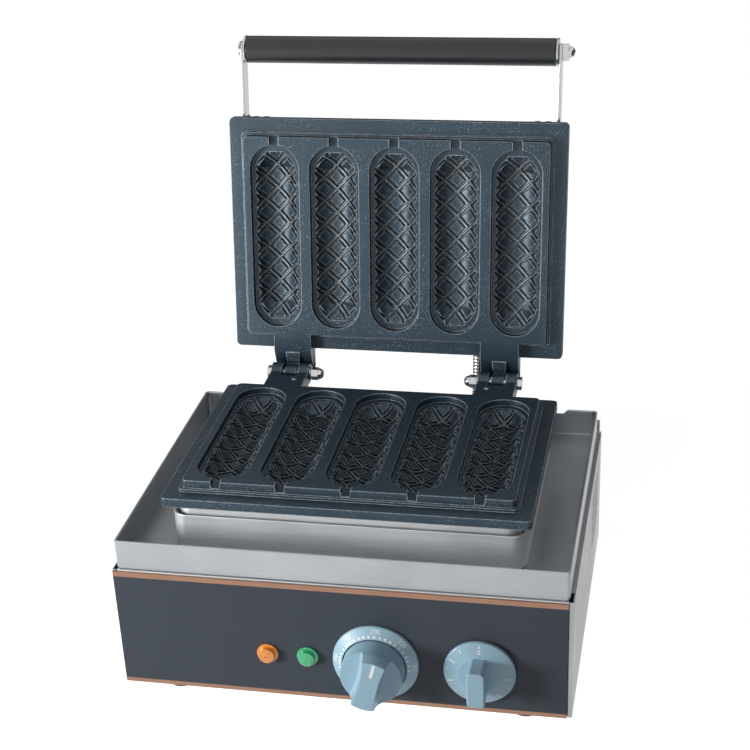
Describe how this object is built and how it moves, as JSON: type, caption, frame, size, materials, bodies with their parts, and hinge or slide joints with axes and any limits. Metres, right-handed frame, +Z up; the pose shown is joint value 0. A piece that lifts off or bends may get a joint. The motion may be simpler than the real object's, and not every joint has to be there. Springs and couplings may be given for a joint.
{
  "type": "hot dog waffle maker",
  "caption": "Counter-top waffle maker with an open hinged lid, two patterned cast plates with stick slots, an oil tray, a grip handle, two knobs and two lamps.",
  "frame": {"origin": "centre of the whole machine's box, at the counter surface under the feet", "axes": "+X towards the right-hand side seen from the front, +Y towards the back, +Z up"},
  "size_m": [0.36, 0.375, 0.452],
  "materials": {
    "stainless": "brushed sheet",
    "coated_casting": "dark speckled non-stick coating",
    "fascia_paint": "satin, with a copper stripe along the top and the bottom",
    "knob_plastic": "satin",
    "dial_metal": "satin, painted",
    "grip_plastic": "matt",
    "bright_steel": "polished",
    "rubber": "matt",
    "orange_lens": "clear gloss",
    "green_lens": "clear gloss",
    "dark_plastic": "matt",
    "element_sheath": "heat-tinted",
    "wire_sleeve": "glass-fibre sleeve"
  },
  "bodies": {
    "base": {"base_pan": "stainless", "front_panel": "stainless", "left_side_panel": "stainless", "right_side_panel": "stainless", "back_panel": "stainless", "oil_tray": "stainless", "heater_box": "stainless", "heater_box_liner": "stainless", "front_left_foot_screw": "bright_steel", "front_right_foot_screw": "bright_steel", "rear_left_foot_screw": "bright_steel", "rear_right_foot_screw": "bright_steel", "left_hinge_bolt": "bright_steel", "left_hinge_washer": "bright_steel", "left_hinge_nut": "bright_steel", "left_stop_screw": "bright_steel", "right_hinge_bolt": "bright_steel", "right_hinge_washer": "bright_steel", "right_hinge_nut": "bright_steel", "right_stop_screw": "bright_steel", "box_conduit_collar": "bright_steel", "wire_conduit": "bright_steel", "lower_plate": "coated_casting", "control_fascia": "fascia_paint", "thermostat_dial": "dial_metal", "front_left_foot": "rubber", "front_right_foot": "rubber", "rear_left_foot": "rubber", "rear_right_foot": "rubber", "orange_lamp_lens": "orange_lens", "green_lamp_lens": "green_lens", "orange_lamp_body": "dark_plastic", "green_lamp_body": "dark_plastic", "thermostat_body": "dark_plastic", "timer_body": "dark_plastic", "terminal_block": "dark_plastic", "cable_gland": "dark_plastic", "lower_heating_element": "element_sheath", "conduit_wires": "wire_sleeve"},
    "lid": {"upper_plate": "coated_casting", "lid_cover": "stainless", "upper_heating_element": "element_sheath", "left_handle_arm": "stainless", "right_handle_arm": "stainless", "left_arm_screw_inner": "bright_steel", "left_arm_screw_outer": "bright_steel", "right_arm_screw_inner": "bright_steel", "right_arm_screw_outer": "bright_steel", "handle_grip": "grip_plastic", "left_grip_cap": "stainless", "right_grip_cap": "stainless", "handle_rod": "bright_steel", "handle_nut": "bright_steel", "lid_conduit_collar": "bright_steel"},
    "thermostat_dial_knob": {"thermostat_knob": "knob_plastic", "thermostat_shaft": "bright_steel"},
    "timer_dial_knob": {"timer_knob": "knob_plastic", "timer_shaft": "bright_steel"}
  },
  "joints": [
    {"name": "lid_hinge", "type": "hinge", "parent": "base", "child": "lid", "pos_m": [0, 0.09618, 0.1747], "axis": [1, 0, 0], "range_deg": [0, 99.6], "deforming": ["wire_conduit", "conduit_wires"]},
    {"name": "thermostat_turn", "type": "hinge", "parent": "base", "child": "thermostat_dial_knob", "pos_m": [0.028, -0.15552, 0.0538], "axis": [0, 1, 0], "range_deg": [-160, 73]},
    {"name": "timer_turn", "type": "hinge", "parent": "base", "child": "timer_dial_knob", "pos_m": [0.1094, -0.15552, 0.0538], "axis": [0, 1, 0], "range_deg": [0, 280]}
  ]
}
